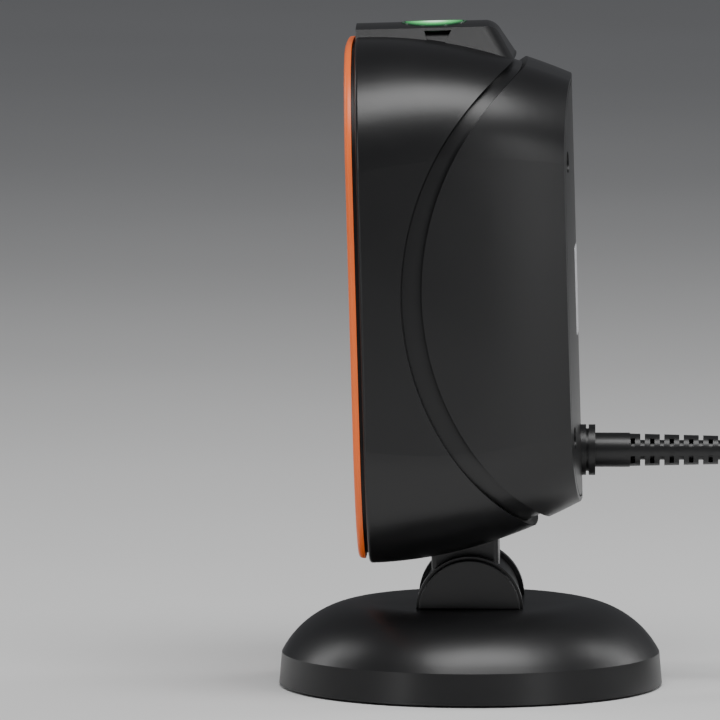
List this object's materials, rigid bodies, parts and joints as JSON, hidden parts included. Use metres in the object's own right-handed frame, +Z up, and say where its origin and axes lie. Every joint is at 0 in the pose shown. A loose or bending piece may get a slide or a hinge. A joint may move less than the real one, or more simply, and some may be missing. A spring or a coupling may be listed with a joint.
{
  "type": "desktop barcode scanner",
  "caption": "Hands-free desktop barcode scanner: tall rounded scanning head with orange window trim and a lit top button, tilting on a weighted round base, with cord and plug.",
  "frame": {"origin": "centre of the base's underside, on the surface that the scanner stands on", "axes": "+Z up; -X is where the scan window looks, +X is where the cord leaves; Y runs along the hinge axis"},
  "size_m": [0.1992, 0.1049, 0.1508],
  "materials": {
    "shell": "fine satin moulding",
    "base_plastic": "satin moulding",
    "inner_black": "plain moulding",
    "orange_trim": "satin, softly rounded",
    "dark_window": "polished tinted acrylic",
    "foam": "closed-cell foam tape",
    "label": "blank silver-white film label",
    "screw_steel": "dark zinc plated",
    "circuit_board": "solder-masked glass epoxy",
    "white_board": "white solder mask",
    "sensor": "glass-topped chip",
    "lens": "coated lens",
    "led_white": "phosphor-topped",
    "reflector": "metallised plastic",
    "chip": "moulded epoxy",
    "tin_plate": "tin plated",
    "connector": "natural nylon",
    "green_lens": "translucent, lit from below",
    "dark_green": "translucent light guide",
    "foot_rubber": "soft moulded rubber",
    "ballast_steel": "turned mild steel",
    "washer_plastic": "acetal",
    "relief_rubber": "satin thermoplastic rubber",
    "cord_pvc": "satin cord jacket",
    "plug_pvc": "satin overmould",
    "plug_metal": "nickel plated",
    "tie": "woven hook-and-loop tape"
  },
  "bodies": {
    "base": {"base_cover": "base_plastic", "base_plate": "inner_black", "foot_ring": "foot_rubber", "base_screws": "screw_steel", "ballast": "ballast_steel", "hinge_bolt": "screw_steel", "hinge_nut": "screw_steel", "spring_washers": "screw_steel", "friction_washers": "washer_plastic", "hinge_caps": "base_plastic", "cord_tube": "cord_pvc", "cord_coil": "cord_pvc", "cord_tie": "tie", "usb_plug": "plug_pvc", "usb_shell": "plug_metal"},
    "head": {"aiming_led": "lens", "beeper": "chip", "board_screws": "screw_steel", "button_board": "circuit_board", "button_leds": "led_white", "button_ring": "dark_green", "button_switch": "chip", "camera_board": "circuit_board", "case_screws": "screw_steel", "cord_socket": "connector", "front_shell": "shell", "image_sensor": "sensor", "inner_lead": "cord_pvc", "lead_plug": "connector", "lens_barrel": "inner_black", "lens_glass": "lens", "lens_holder": "inner_black", "light_boards": "white_board", "light_leds": "led_white", "light_reflectors": "reflector", "main_board": "circuit_board", "memory_chip": "chip", "neck": "base_plastic", "neck_screws": "screw_steel", "optics_chassis": "inner_black", "processor_chip": "chip", "rear_label": "label", "rear_plate": "shell", "rear_shell": "shell", "scan_window": "dark_window", "shield_can": "tin_plate", "strain_relief": "relief_rubber", "trim_ring": "orange_trim", "window_frame": "inner_black", "window_gasket": "foam"},
    "button": {"button_cap": "green_lens", "switch_plunger": "connector"}
  },
  "joints": [
    {"name": "head_tilt", "type": "hinge", "parent": "base", "child": "head", "pos_m": [0, 0, 0.0188], "axis": [0, 1, 0], "range_deg": [-15, 25], "deforming": ["cord_tube"]},
    {"name": "button_press", "type": "slide", "parent": "head", "child": "button", "axis": [0.0279, 0, -0.9996], "range_m": [0, 0.0008], "stiffness_N_per_m": 2500, "springref_m": -0.0004}
  ]
}
